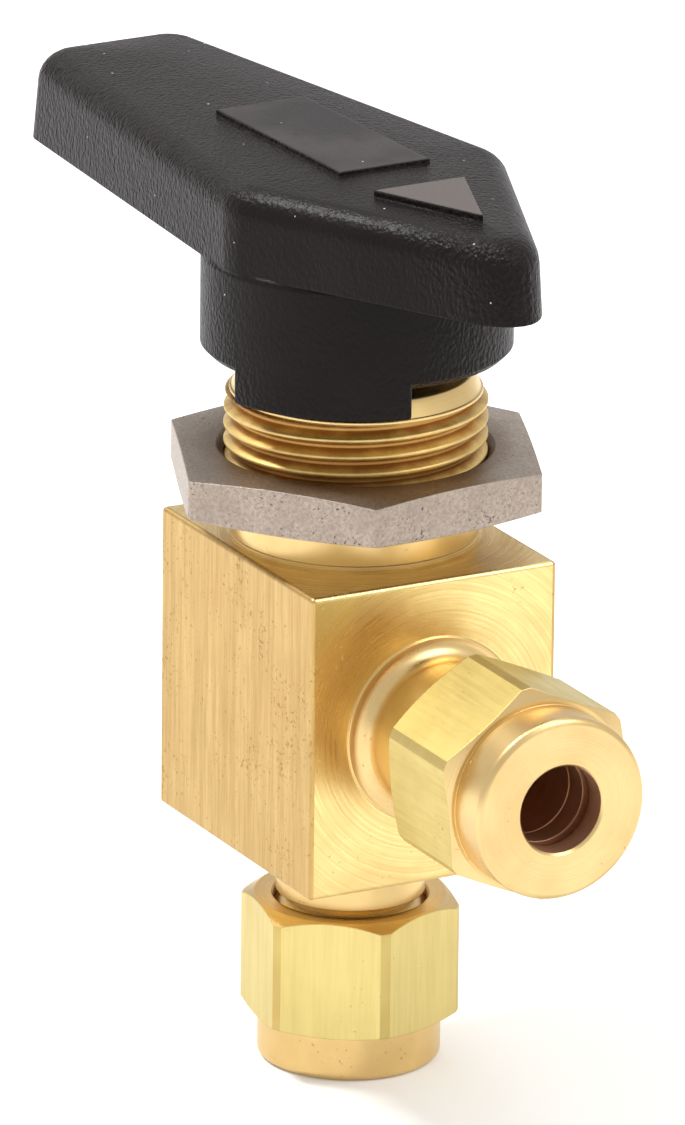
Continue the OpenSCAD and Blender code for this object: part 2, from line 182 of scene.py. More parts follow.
def mill_flats(bm: BMesh, across: float, first: float) -> None:
    """Mills six flats on a turned bar.

    Args:
        bm: the turned bar, about Z.
        across: width over two flats.
        first: the angle of a corner, in degrees.
    """
    for k in range(6):
        a = math.radians(first + 30 + 60 * k)
        out = Vector((math.cos(a), math.sin(a), 0.0))
        cut = bmesh.ops.bisect_plane(bm, geom=everything(bm), dist=MERGE / 10,
                                     plane_co=out * across / 2, plane_no=out, clear_outer=True)
        rim = [e for e in cut["geom_cut"] if isinstance(e, BMEdge)]
        bmesh.ops.contextual_create(bm, geom=rim)
    face_outwards(bm)


def soften(bm: BMesh, width: float, segments: int, where: Callable[[Vector], bool],
           sharper_than: float = 25.0) -> None:
    """Rounds the sharp edges of a piece.

    Args:
        bm: the piece.
        width: how far the round reaches from the edge.
        segments: the number of faces across the round.
        where: picks edges by their middle point.
        sharper_than: only edges whose faces meet at more than this angle, in degrees.
    """
    limit = math.radians(sharper_than)
    edges = [e for e in bm.edges if len(e.link_faces) == 2 and e.calc_face_angle(0.0) > limit
             and where((e.verts[0].co + e.verts[1].co) / 2)]
    bmesh.ops.bevel(bm, geom=edges, offset=width, offset_type="OFFSET", affect="EDGES",
                    segments=segments, profile=0.5, material=-1, clamp_overlap=True)


def stood(bm: BMesh, turn: Matrix, shift: Place) -> BMesh:
    """Turns a piece and moves it to its place.

    Args:
        bm: the piece, at the bench's origin.
        turn: its rotation.
        shift: its move, in millimetres.

    Returns:
        The same piece.
    """
    bmesh.ops.transform(bm, matrix=Matrix.Translation(shift) @ turn, verts=bm.verts)
    return bm


def shop_object(name: str, bm: BMesh) -> Object:
    """Puts a mesh in work into the scene as an object, still in millimetres.

    Args:
        name: the object's name.
        bm: the mesh, which is freed.

    Returns:
        The object.
    """
    mesh = bpy.data.meshes.new(name)
    bm.to_mesh(mesh)
    bm.free()
    piece = bpy.data.objects.new(name, mesh)
    bpy.context.scene.collection.objects.link(piece)
    return piece


def joined(piece: Object, tools: Iterable[tuple[Cut, BMesh]]) -> Object:
    """Adds solids to a piece and cuts solids out of it, one after the other.

    Args:
        piece: the object that is changed.
        tools: each solid, with what it does.

    Returns:
        The same object, with its new mesh.
    """
    for cut, bm in tools:
        tool = shop_object("tool", bm)
        step = piece.modifiers.new("cut", "BOOLEAN")
        step.operation = cut.value
        step.object = tool
        step.solver = "EXACT"
        graph = bpy.context.evaluated_depsgraph_get()
        mesh = bpy.data.meshes.new_from_object(piece.evaluated_get(graph))
        piece.modifiers.clear()
        old, piece.data = piece.data, mesh
        bpy.data.meshes.remove(old)
        bpy.data.meshes.remove(tool.data)
    return piece


def set_down(piece: Object, crease: float = 16.0) -> Object:
    """Cleans a finished piece, shades it and brings it from millimetres to metres.

    Args:
        piece: the object.
        crease: faces that meet at more than this angle, in degrees, keep a sharp edge.

    Returns:
        The same object.
    """
    bm = bmesh.new()
    bm.from_mesh(piece.data)
    bmesh.ops.remove_doubles(bm, verts=bm.verts, dist=MERGE)
    bmesh.ops.dissolve_degenerate(bm, dist=MERGE / 2, edges=bm.edges)
    face_outwards(bm)
    bmesh.ops.scale(bm, vec=(METRE, METRE, METRE), verts=bm.verts)
    bm.to_mesh(piece.data)
    bm.free()
    piece.data.polygons.foreach_set("use_smooth", [True] * len(piece.data.polygons))
    piece.data.set_sharp_from_angle(angle=math.radians(crease))
    even = piece.modifiers.new("even_shading", "WEIGHTED_NORMAL")
    even.keep_sharp = True
    return piece


# ---- paint shop: node trees, shared effects ----


class Nodes:
    """Writes nodes into a tree and joins them."""

    def __init__(self, tree: NodeTree) -> None:
        """Takes the tree that is written."""
        self.tree = tree

    def add(self, kind: str, inputs: dict | None = None, **settings: object) -> Node:
        """Adds a node.

        Args:
            kind: the node's type, without its ShaderNode prefix.
            inputs: by socket name or number, a value, or a socket to join.
            settings: the node's own properties.

        Returns:
            The node.
        """
        node = self.tree.nodes.new("ShaderNode" + kind)
        for key, value in settings.items():
            setattr(node, key, value)
        self.feed(node, inputs or {})
        return node

    def feed(self, node: Node, inputs: dict) -> None:
        """Gives a node's sockets their values, or joins other sockets to them."""
        for key, value in inputs.items():
            if isinstance(value, NodeSocket):
                self.tree.links.new(value, node.inputs[key])
            else:
                node.inputs[key].default_value = value

    def math(self, operation: str, *values: Number, clamp: bool = False) -> NodeSocket:
        """Adds a Math node and gives its result."""
        inputs = dict(enumerate(values))
        return self.add("Math", inputs, operation=operation, use_clamp=clamp).outputs[0]

    def vector(self, operation: str, *values: Place | NodeSocket) -> Node:
        """Adds a Vector Math node."""
        return self.add("VectorMath", dict(enumerate(values)), operation=operation)

    def radius(self, place: NodeSocket) -> NodeSocket:
        """Gives the distance from the Z axis."""
        flat = self.vector("MULTIPLY", place, (1.0, 1.0, 0.0)).outputs[0]
        return self.vector("LENGTH", flat).outputs["Value"]

    def noise(self, place: NodeSocket, scale: Number, detail: float = 2.0,
              roughness: float = 0.5) -> NodeSocket:
        """Adds a Noise Texture and gives its value."""
        node = self.add("TexNoise", {"Vector": place, "Scale": scale, "Detail": detail,
                                     "Roughness": roughness})
        return node.outputs["Fac"]

    def spread(self, value: NodeSocket, low: Number, high: Number) -> NodeSocket:
        """Adds a smooth Map Range node, which gives 0 at the low value and 1 at the high one."""
        node = self.add("MapRange", {"Value": value, "From Min": low, "From Max": high},
                        interpolation_type="SMOOTHSTEP")
        return node.outputs["Result"]

    def blend(self, share: NodeSocket, first: Paint, second: Paint,
              strength: float = 1.0) -> NodeSocket:
        """Adds a colour mix.

        Args:
            share: the mask of the second colour.
            first: the colour where the mask is 0.
            second: the colour where the mask is 1.
            strength: how much of the second colour shows there.

        Returns:
            The mixed colour.
        """
        if strength != 1.0:
            share = self.math("MULTIPLY", share, strength)
        fac, a, b, result = 0, 6, 7, 2  # the Mix node's sockets for colours, by number
        colours = {key: value if isinstance(value, NodeSocket) else (*value, 1.0)
                   for key, value in ((a, first), (b, second))}
        return self.add("Mix", {fac: share, **colours}, data_type="RGBA").outputs[result]


class Effects:
    """The shader groups that several finishes share, each built once."""

    SOCKETS = {"f": "NodeSocketFloat", "v": "NodeSocketVector"}

    def __init__(self) -> None:
        """Builds every group."""
        self.drawn = self._group("Drawn lines", {"Place": "v", "Across": "f", "Along": "f"},
                                 {"Tone": "f"}, self._write_drawn)
        self.rings = self._group("Turned rings", {"Place": "v", "Feed": "f"},
                                 {"Tone": "f", "Height": "f"}, self._write_rings)
        self.pits = self._group("Pits", {"Place": "v", "Scale": "f", "Share": "f"},
                                {"Mask": "f"}, self._write_pits)
        self.cloud = self._group("Cloud", {"Place": "v", "Scale": "f"}, {"Mask": "f"},
                                 self._write_cloud)
        self.edges = self._group("Soft edges", {"Radius": "f"}, {"Normal": "v", "Mask": "f"},
                                 self._write_edges)
        self.grain = self._group("Moulded grain",
                                 {"Place": "v", "Scale": "f", "Wave": "f", "Draw": "f"},
                                 {"Height": "f"}, self._write_grain)
        # Painted shade, darker nearer the Z axis: in a thread's roots and round a nut's bore.
        self.grooves = self._group("Shaded grooves", {"Place": "v", "Root": "f", "Crest": "f"},
                                   {"Mask": "f"}, self._write_grooves)
        self.dust = self._group("Dust", {"Place": "v", "Scale": "f", "Size": "f"}, {"Mask": "f"},
                                self._write_dust)

    def _group(self, name: str, inputs: dict[str, str], outputs: dict[str, str],
               write: Callable[[Nodes, dict], dict]) -> NodeTree:
        """Makes a group with named sockets and has its inside written.

        Args:
            name: the group's name.
            inputs: socket names, each with "f" for a number or "v" for a vector.
            outputs: the same, for what it gives.
            write: fills the group from its inputs and gives its results, by socket name.

        Returns:
            The group.
        """
        tree = bpy.data.node_groups.new(name, "ShaderNodeTree")
        for way, sockets in (("INPUT", inputs), ("OUTPUT", outputs)):
            for key, kind in sockets.items():
                tree.interface.new_socket(key, in_out=way, socket_type=self.SOCKETS[kind])
        start = tree.nodes.new("NodeGroupInput")
        end = tree.nodes.new("NodeGroupOutput")
        result = write(Nodes(tree), start.outputs)
        for key in outputs:
            tree.links.new(result[key], end.inputs[key])
        return tree

    @staticmethod
    def _write_drawn(nodes: Nodes, given: dict) -> dict:
        """Long fine lines along Z, of uneven strength."""
        scale = nodes.add("CombineXYZ", {0: given["Across"], 1: given["Across"], 2: given["Along"]})
        place = nodes.vector("MULTIPLY", given["Place"], scale.outputs[0]).outputs[0]
        coarse = nodes.noise(place, 0.35, 2.0)
        fine = nodes.noise(place, 1.0, 3.0, 0.7)
        return {"Tone": nodes.math("ADD", nodes.math("MULTIPLY", coarse, 0.4),
                                   nodes.math("MULTIPLY", fine, 0.6))}

    @staticmethod
    def _write_rings(nodes: Nodes, given: dict) -> dict:
        """Grooves of the cutting tool round Z, uneven in depth."""
        radius = nodes.radius(given["Place"])
        line = nodes.add("CombineXYZ", {0: nodes.math("DIVIDE", radius, given["Feed"])})
        wobble = nodes.noise(given["Place"], 0.25, 1.0)
        place = nodes.vector("ADD", line.outputs[0], nodes.add("CombineXYZ", {1: wobble}).outputs[0])
        coarse = nodes.noise(place.outputs[0], 0.45, 1.0)
        fine = nodes.noise(place.outputs[0], 1.6, 2.0, 0.6)
        height = nodes.math("ADD", nodes.math("MULTIPLY", coarse, 0.6),
                            nodes.math("MULTIPLY", fine, 0.4))
        return {"Tone": fine, "Height": height}

    @staticmethod
    def _write_pits(nodes: Nodes, given: dict) -> dict:
        """Small scattered hollows, in patches."""
        dots = nodes.noise(given["Place"], given["Scale"], 3.0, 0.6)
        patch = nodes.noise(given["Place"], nodes.math("MULTIPLY", given["Scale"], 0.08), 2.0)
        uneven = nodes.math("MULTIPLY", nodes.math("SUBTRACT", patch, 0.5), 0.35)
        value = nodes.math("ADD", dots, uneven)
        low = nodes.math("SUBTRACT", 1.0, given["Share"])
        return {"Mask": nodes.spread(value, low, nodes.math("ADD", low, 0.07))}

    @staticmethod
    def _write_cloud(nodes: Nodes, given: dict) -> dict:
        """Broad soft patches."""
        patches = nodes.noise(given["Place"], given["Scale"], 3.0, 0.55)
        return {"Mask": nodes.spread(patches, 0.35, 0.68)}

    @staticmethod
    def _write_edges(nodes: Nodes, given: dict) -> dict:
        """A round on every sharp edge, and where it lies."""
        round_edge = nodes.add("Bevel", {"Radius": given["Radius"]}, samples=4)
        plain = nodes.add("NewGeometry").outputs["Normal"]
        dot = nodes.vector("DOT_PRODUCT", round_edge.outputs[0], plain).outputs["Value"]
        return {"Normal": round_edge.outputs[0], "Mask": nodes.spread(dot, 0.995, 0.9)}

    @staticmethod
    def _write_grain(nodes: Nodes, given: dict) -> dict:
        """Leather-like moulded grain: rounded pebbles with a little wave."""
        bend = nodes.add("TexNoise", {"Vector": given["Place"], "Scale": 0.5, "Detail": 1.0})
        shift = nodes.add("VectorMath", {0: bend.outputs["Color"], "Scale": given["Wave"]},
                          operation="SCALE")
        bent = nodes.vector("ADD", given["Place"], shift.outputs[0]).outputs[0]
        draw = nodes.add("CombineXYZ", {0: 1.0, 1: 1.0, 2: given["Draw"]})
        place = nodes.vector("MULTIPLY", bent, draw.outputs[0]).outputs[0]
        cells = nodes.add("TexVoronoi", {"Vector": place, "Scale": given["Scale"], "Smoothness": 0.6},
                          feature="SMOOTH_F1")
        fine = nodes.noise(place, nodes.math("MULTIPLY", given["Scale"], 1.7), 2.0)
        pebble = nodes.math("SUBTRACT", 1.0, cells.outputs["Distance"])
        return {"Height": nodes.math("ADD", nodes.math("MULTIPLY", pebble, 0.7),
                                     nodes.math("MULTIPLY", fine, 0.5))}

    @staticmethod
    def _write_grooves(nodes: Nodes, given: dict) -> dict:
        """Painted shade that darkens the roots of a thread round Z, unevenly."""
        radius = nodes.radius(given["Place"])
        wander = nodes.math("SUBTRACT", nodes.noise(given["Place"], 0.7, 3.0), 0.5)
        uneven = nodes.math("MULTIPLY", wander, 1.1)
        level = nodes.spread(nodes.math("ADD", radius, uneven), given["Crest"], given["Root"])
        return {"Mask": nodes.math("MULTIPLY", level, 0.85)}

    @staticmethod
    def _write_dust(nodes: Nodes, given: dict) -> dict:
        """Sparse pale specks."""
        cells = nodes.add("TexVoronoi", {"Vector": given["Place"], "Scale": given["Scale"]})
        chance = nodes.add("SeparateColor", {0: cells.outputs["Color"]}).outputs[0]
        pick = nodes.math("GREATER_THAN", chance, 0.86)
        near = nodes.math("LESS_THAN", cells.outputs["Distance"], given["Size"])
        return {"Mask": nodes.math("MULTIPLY", pick, near)}


class Finish:
    """A material in work: its tree, its coordinates in millimetres and its shader."""

    def __init__(self, name: str, effects: Effects, centre: Place = (0.0, 0.0, 0.0),
                 axis: Axis = Axis.STEM) -> None:
        """Starts a material.

        Args:
            name: its name.
            effects: the shared groups.
            centre: the point that patterns are centred on, in millimetres.
            axis: the line that turned patterns run about.
        """
        self.material = bpy.data.materials.new(name)
        self.material.use_nodes = True
        self.effects = effects
        self.nodes = Nodes(self.material.node_tree)
        self.shader = next(n for n in self.material.node_tree.nodes if n.type == "BSDF_PRINCIPLED")
        place = self.nodes.add("TexCoord").outputs["Object"]
        turn = (0.0, math.radians(-90), 0.0) if axis is Axis.SIDE_PORT else (0.0, 0.0, 0.0)
        moved = self.nodes.add("Mapping", {"Vector": place, "Location": [-c * METRE for c in centre]})
        scaled = self.nodes.add("Mapping", {"Vector": moved.outputs[0], "Rotation": turn,
                                            "Scale": [1 / METRE] * 3})
        self.place = scaled.outputs[0]

    def effect(self, group: NodeTree, **inputs: Number) -> Node:
        """Puts a shared effect in, on this material's coordinates.

        Args:
            group: which effect.
            inputs: its sockets' values.

        Returns:
            The group's node.
        """
        node = self.nodes.add("Group", node_tree=group)
        if "Place" in node.inputs:
            inputs["Place"] = self.place
        self.nodes.feed(node, inputs)
        return node

    def bump(self, height: NodeSocket, depth: float,
             normal: NodeSocket | None = None) -> NodeSocket:
        """Adds a relief.

        Args:
            height: its shape, from 0 to 1.
            depth: its depth in millimetres.
            normal: the surface that it lies on, if it isn't the plain one.

        Returns:
            The new surface direction.
        """
        lies_on = {} if normal is None else {"Normal": normal}
        return self.nodes.add("Bump", {"Height": height, "Distance": depth * METRE, "Strength": 1.0,
                                       **lies_on}).outputs[0]

    def set(self, sockets: dict[str, Number]) -> None:
        """Sets or joins the shader's sockets."""
        self.nodes.feed(self.shader, sockets)


@dataclass(frozen=True)
class Recipe:
    """A named finish. Each kind of finish says how it is painted."""

    name: str

    def start(self, effects: Effects) -> Finish:
        """Starts the material."""
        return Finish(self.name, effects)

    def paint(self, finish: Finish, effects: Effects) -> dict:
        """Writes the nodes and gives the shader's sockets; each kind has its own."""
        raise NotImplementedError

    def make(self, effects: Effects) -> Material:
        """Builds the material.

        Args:
            effects: the shared groups.

        Returns:
            The material.
        """
        finish = self.start(effects)
        finish.set(self.paint(finish, effects))
        return finish.material


class BrassCut(Enum):
    """How a brass surface was made."""

    DRAWN = "drawn"
    TURNED = "turned"


@dataclass(frozen=True)
class Brass(Recipe):
    """Brass, as it leaves a drawing die or a lathe."""

    cut: BrassCut = BrassCut.TURNED
    tint: Colour = (0.90, 0.68, 0.30)
    shade: Colour = (0.62, 0.38, 0.12)
    shade_share: float = 0.35
    stain: Colour = (0.45, 0.25, 0.08)
    stain_share: float = 0.25
    pit_share: float = 0.30
    roughness: float = 0.26
    depth: float = 0.006
    feed: float = 0.18
    centre: Place = (0.0, 0.0, 0.0)
    axis: Axis = Axis.STEM
    edge: Colour = (0.90, 0.68, 0.30)
    edge_radius: float = 0.12
    line_share: float = 0.10
    # Root colour and the radii it spans: painted shade in a thread's grooves.
    root_shade: Colour = (0.40, 0.19, 0.045)
    root_shade_r: tuple[float, float] | None = None

    def start(self, effects: Effects) -> Finish:
        """Starts the material on its own centre and axis."""
        return Finish(self.name, effects, self.centre, self.axis)

    def paint(self, finish: Finish, effects: Effects) -> dict:
        """Tool marks, tarnish, pits, rubbed edges and, on a thread, painted shade in its grooves."""
        nodes = finish.nodes
        if self.cut is BrassCut.DRAWN:
            marks = finish.effect(effects.drawn, Across=3.5, Along=0.16)
            height = marks.outputs["Tone"]
        else:
            marks = finish.effect(effects.rings, Feed=self.feed)
            height = marks.outputs["Height"]
        tone = nodes.spread(marks.outputs["Tone"], 0.3, 0.7)
        cloud = finish.effect(effects.cloud, Scale=0.16).outputs["Mask"]
        pits = finish.effect(effects.pits, Scale=3.2, Share=self.pit_share).outputs["Mask"]
        edges = finish.effect(effects.edges, Radius=self.edge_radius * METRE)
        colour = nodes.blend(tone, self.tint, self.shade, self.shade_share)
        colour = nodes.blend(cloud, colour, self.stain, self.stain_share)
        colour = nodes.blend(pits, colour, self.stain, 0.7)
        colour = nodes.blend(edges.outputs["Mask"], colour, self.edge, 0.6)
        # Painted shade in the thread's roots.
        if self.root_shade_r is not None:
            root_shading = finish.effect(effects.grooves, Root=self.root_shade_r[0], Crest=self.root_shade_r[1])
            colour = nodes.blend(root_shading.outputs["Mask"], colour, self.root_shade)
        rough = nodes.math("ADD", nodes.math("MULTIPLY", tone, self.line_share), self.roughness)
        rough = nodes.math("ADD", nodes.math("MULTIPLY", pits, 0.2), rough, clamp=True)
        normal = finish.bump(height, self.depth, edges.outputs["Normal"])
        normal = finish.bump(nodes.math("SUBTRACT", 1.0, pits), 0.02, normal)
        return {"Base Color": colour, "Metallic": 1.0, "Roughness": rough, "Normal": normal}


@dataclass(frozen=True)
class Plated(Recipe):
    """Grey plating over a drawn hexagon: grainy, with open pits."""

    tint: Colour = (0.47, 0.39, 0.325)
    shade: Colour = (0.29, 0.235, 0.195)
    pit: Colour = (0.14, 0.10, 0.075)
    # Brown colour and radii of the painted shade round the bore.
    bore_shade: Colour = (0.13, 0.07, 0.035)
    bore_shade_r: tuple[float, float] = (9.7, 12.6)
    roughness: float = 0.42
    pit_share: float = 0.355
    edge_radius: float = 0.15

    def paint(self, finish: Finish, effects: Effects) -> dict:
        """Grain, cloudy patches, open pits and painted shade round the bore, where the nut meets the
        neck.
        """
        nodes = finish.nodes
        grain = nodes.noise(finish.place, 3.6, 4.0, 0.75)
        cloud = finish.effect(effects.cloud, Scale=0.3).outputs["Mask"]
        pits = finish.effect(effects.pits, Scale=4.4, Share=self.pit_share).outputs["Mask"]
        edges = finish.effect(effects.edges, Radius=self.edge_radius * METRE)
        colour = nodes.blend(nodes.spread(grain, 0.3, 0.75), self.tint, self.shade)
        colour = nodes.blend(cloud, colour, self.shade, 0.35)
        colour = nodes.blend(pits, colour, self.pit)
        colour = nodes.blend(edges.outputs["Mask"], colour, self.tint, 0.6)
        # Painted shade round the bore, where the nut meets the neck.
        bore_shading = finish.effect(effects.grooves, Root=self.bore_shade_r[0], Crest=self.bore_shade_r[1])
        colour = nodes.blend(bore_shading.outputs["Mask"], colour, self.bore_shade, 0.8)
        rough = nodes.math("ADD", nodes.math("MULTIPLY", grain, 0.2), self.roughness - 0.1)
        normal = finish.bump(grain, 0.03, edges.outputs["Normal"])
        normal = finish.bump(nodes.math("SUBTRACT", 1.0, pits), 0.05, normal)
        return {"Base Color": colour, "Metallic": 1.0, "Roughness": rough, "Normal": normal}


@dataclass(frozen=True)
class MouldedNylon(Recipe):
    """Black glass-filled nylon from a grained mould."""

    tint: Colour = (0.0085, 0.0056, 0.0055)
    worn: Colour = (0.017, 0.0125, 0.012)
    gloss: float = 0.11
    roughness: float = 0.36
    grain_size: float = 0.29
    grain_depth: float = 0.19
    grain_draw: float = 0.66
    edge_radius: float = 0.25
    worn_spot: Place = (10.0, -9.0, 61.0)
    worn_reach: tuple[float, float] = (7.0, 15.0)
    worn_share: float = 0.0

    def paint(self, finish: Finish, effects: Effects) -> dict:
        """Grained mould marks, wear, dust and softened edges."""
        nodes = finish.nodes
        grain = finish.effect(effects.grain, Scale=1 / self.grain_size, Wave=0.8,
                              Draw=self.grain_draw).outputs["Height"]
        cloud = finish.effect(effects.cloud, Scale=0.12).outputs["Mask"]
        dust = finish.effect(effects.dust, Scale=0.9, Size=0.07).outputs["Mask"]
        edges = finish.effect(effects.edges, Radius=self.edge_radius * METRE)
        colour = nodes.blend(cloud, self.tint, self.worn, 0.3)
        colour = nodes.blend(edges.outputs["Mask"], colour, self.worn, 0.4)
        colour = nodes.blend(dust, colour, (0.6, 0.58, 0.55), 0.8)
        rough = nodes.math("ADD", nodes.math("MULTIPLY", grain, -0.12), self.roughness + 0.06)
        away = nodes.vector("DISTANCE", finish.place, self.worn_spot).outputs["Value"]
        kept = nodes.spread(away, *self.worn_reach)
        kept = nodes.math("ADD", 0.25, nodes.math("MULTIPLY", kept, 0.75))
        near = nodes.math("MULTIPLY", nodes.spread(away, *reversed(self.worn_reach)), self.worn_share)
        colour = nodes.blend(near, colour, self.worn)
        grain = nodes.math("MULTIPLY", grain, kept)
        normal = finish.bump(grain, self.grain_depth, edges.outputs["Normal"])
        return {"Base Color": colour, "Roughness": rough, "Normal": normal,
                "Specular IOR Level": self.gloss}


@dataclass(frozen=True)
class PlainPart(Recipe):
    """A clean inner part: polished steel, spring steel or a white seal."""

    tint: Colour
    metallic: float = 1.0
    roughness: float = 0.28
    feed: float = 0.12
    depth: float = 0.003

    def paint(self, finish: Finish, effects: Effects) -> dict:
        """Fine turning marks and soft edges."""
        nodes = finish.nodes
        marks = finish.effect(effects.rings, Feed=self.feed)
        cloud = finish.effect(effects.cloud, Scale=0.5).outputs["Mask"]
        edges = finish.effect(effects.edges, Radius=0.06 * METRE)
        dark = tuple(c * 0.72 for c in self.tint)
        colour = nodes.blend(cloud, self.tint, dark, 0.4)
        rough = nodes.math("MULTIPLY", marks.outputs["Tone"], 0.15)
        rough = nodes.math("ADD", rough, self.roughness - 0.07)
        normal = finish.bump(marks.outputs["Height"], self.depth, edges.outputs["Normal"])
        return {"Base Color": colour, "Metallic": self.metallic, "Roughness": rough, "Normal": normal}


# ---- the valve's pieces ----


class BodyZone(Enum):
    """The kinds of surface on the valve body, by material slot."""

    DRAWN = 0
    FACED_SIDE = 1
    FACED_END = 2
    TURNED_UPRIGHT = 3
    TURNED_SIDE = 4
    THREAD = 5
    BORE = 6


@dataclass
class ValveBody:
    """Brass block with its panel neck, its two fitting necks and its bores."""

    block_back: float = 11.3
    block_front: float = 12.35
    block_w: float = 19.8
    block_z0: float = 17.2
    block_z1: float = 40.0
    block_edge: float = 0.35
    rub: float = 0.05
    port_z: float = 28.8
    neck_z1: float = 51.6
    relief_r: float = 8.9
    relief_h: float = 3.0
    foot_r: float = 9.05
    foot_h: float = 0.3
    panel_r: float = 9.525
    pitch: float = 1.27
    thread_h: float = 0.7785
    collar_r: float = 9.15
    collar_h: float = 0.9
    collar_rim: float = 0.25
    hub_r: float = 8.4
    hub_z1: float = 52.5
    bottom_gap: float = 4.8
    side_gap: float = 6.75
    neck_r: float = 5.45
    fit_r: float = 5.555
    neck_in: float = 6.0
    boss_r: float = 6.95
    boss_h: float = 0.16
    boss_edge: float = 0.06
    fillet: float = 1.3
    tube_stop: float = -3.0
    socket_r: float = 3.205
    cone_r: float = 4.3
    orifice_r: float = 2.0
    cavity_r: float = 5.6
    cavity_z: float = 22.6
    bolt_hole_r: float = 6.4
    bolt_z: float = 44.55
    seat_pocket_r: float = 2.65
    seat_pocket_x: float = 6.4
    stop_r0: float = 6.55
    stop_r1: float = 8.3
    stop_top: float = 55.0
    stop_span: float = 18.0

    def block(self) -> BMesh:
        """The block, its twelve edges softened."""
        bm = bmesh.new()
        bmesh.ops.create_cube(bm, size=1.0)
        size = (self.block_back + self.block_front, self.block_w, self.block_z1 - self.block_z0)
        bmesh.ops.scale(bm, vec=size, verts=bm.verts)
        middle = ((self.block_front - self.block_back) / 2, 0.0, (self.block_z0 + self.block_z1) / 2)
        bmesh.ops.translate(bm, vec=middle, verts=bm.verts)
        soften(bm, self.block_edge, 6, lambda mid: True)
        return bm

    def panel_neck(self) -> list[BMesh]:
        """The relief, the thread and the collar of the panel neck."""
        z_thread = self.block_z1 + self.relief_h
        z_collar = self.neck_z1 - self.collar_h
        root = self.panel_r - self.thread_h
        foot_z = self.block_z1 + self.foot_h
        relief = turned([(self.foot_r, self.block_z1 - SUNK), (self.foot_r, foot_z - self.rub),
                         (self.foot_r - self.rub, foot_z), (self.relief_r, foot_z),
                         (self.relief_r, z_thread - 0.25), (root, z_thread + 0.1)])
        thread = threaded(self.panel_r, self.thread_h, self.pitch, z_thread, z_collar)
        rim_z = z_collar + 0.2
        rim_z1 = rim_z + self.collar_rim
        collar = turned([(root, z_collar - 0.1), (root, rim_z - 0.04), (self.collar_r - 0.06, rim_z),
                         (self.collar_r, rim_z + 0.06), (self.collar_r, rim_z1 - self.rub),
                         (self.collar_r - self.rub, rim_z1), (self.collar_r - 0.16, rim_z + 0.29),
                         (self.hub_r + 0.06, self.hub_z1 - 0.1), (self.hub_r - 0.06, self.hub_z1)])
        return [relief, thread, collar]

    def fitting_neck(self, gap: float) -> BMesh:
        """A fitting's neck, from its boss on the block to its thread; Z = 0 at the block's face."""
        end = gap + self.neck_in
        curve = [(self.neck_r + self.fillet * (1 - math.sin(a)),
                  self.boss_h + self.fillet * (1 - math.cos(a)))
                 for a in (math.radians(step * 10) for step in range(10))]
        root = self.fit_r - self.thread_h
        crests = [(r, gap + z + k * self.pitch) for k in range(4)
                  for r, z in ((root, 0.2), (self.fit_r, 0.75), (self.fit_r, 0.9))]
        return turned([(self.boss_r, -SUNK), (self.boss_r, self.boss_h - self.boss_edge),
                       (self.boss_r - self.boss_edge, self.boss_h), *curve, (self.neck_r, gap - 0.4),
                       *crests, (root, end - 0.4), (root, end)])

    def fitting_bore(self, gap: float, depth: float) -> BMesh:
        """The cutter for a fitting's passage, tube socket and ferrule cone."""
        end = gap + self.neck_in
        stop = gap + self.tube_stop
        reach = min((self.cone_r - self.socket_r) / math.tan(math.radians(12)), self.neck_in - 1)
        return turned([(self.orifice_r, -depth), (self.orifice_r, stop), (self.socket_r, stop),
                       (self.socket_r, end - reach), (self.cone_r, end), (self.cone_r, end + SUNK)])

    def build(self) -> Object:
        """Builds the whole body.

        Returns:
            The object, in metres.
        """
        down = Matrix.Rotation(math.pi, 4, "X")
        side = Matrix.Rotation(math.pi / 2, 4, "Y")
        under = (0, 0, self.block_z0)
        face = (self.block_front, 0, self.port_z)
        stops = [sector(self.stop_r0, self.stop_r1, self.hub_z1 - SUNK, self.stop_top, a,
                        self.stop_span) for a in (-90, 90)]
        added = [*self.panel_neck(), stood(self.fitting_neck(self.bottom_gap), down, under),
                 stood(self.fitting_neck(self.side_gap), side, face), *stops]
        removed = [
            stood(self.fitting_bore(self.bottom_gap, self.cavity_z - self.block_z0 + 0.1), down, under),
            stood(self.fitting_bore(self.side_gap, self.block_front), side, face),
            stood(turned([(self.seat_pocket_r, 0), (self.seat_pocket_r, self.seat_pocket_x)]),
                  side, (0, 0, self.port_z)),
            turned([(self.cavity_r, self.cavity_z), (self.cavity_r, self.bolt_z - SUNK),
                    (self.bolt_hole_r, self.bolt_z - SUNK), (self.bolt_hole_r, self.stop_top + SUNK)]),
        ]
        piece = shop_object("angle_body", self.block())
        joined(piece, [*((Cut.ADD, bm) for bm in added), *((Cut.REMOVE, bm) for bm in removed)])
        return set_down(piece)

    def zone(self, centre: Vector) -> BodyZone:
        """Which finish a face has.

        Args:
            centre: the face's middle, in metres.

        Returns:
            The zone.
        """
        x, y, z = centre / METRE
        near = self.block_edge
        port_reach = math.hypot(y, z - self.port_z)
        if self.block_z0 - NEAR <= z <= self.block_z1 + NEAR and x < self.block_front + NEAR:
            if abs(abs(y) - self.block_w / 2) < near or abs(x + self.block_back) < near:
                return BodyZone.DRAWN
            if abs(x - self.block_front) < near:
                return BodyZone.FACED_SIDE
            if abs(z - self.block_z1) < NEAR or abs(z - self.block_z0) < NEAR:
                return BodyZone.FACED_END
        if x > self.block_front:
            return BodyZone.BORE if port_reach < self.cone_r + 2 * NEAR else BodyZone.TURNED_SIDE
        if z < self.block_z0 and math.hypot(x, y) < self.cone_r + 2 * NEAR:
            return BodyZone.BORE
        if self.block_z1 + self.relief_h - 0.3 < z < self.neck_z1 - self.collar_h + 0.16:
            return BodyZone.THREAD
        return BodyZone.TURNED_UPRIGHT


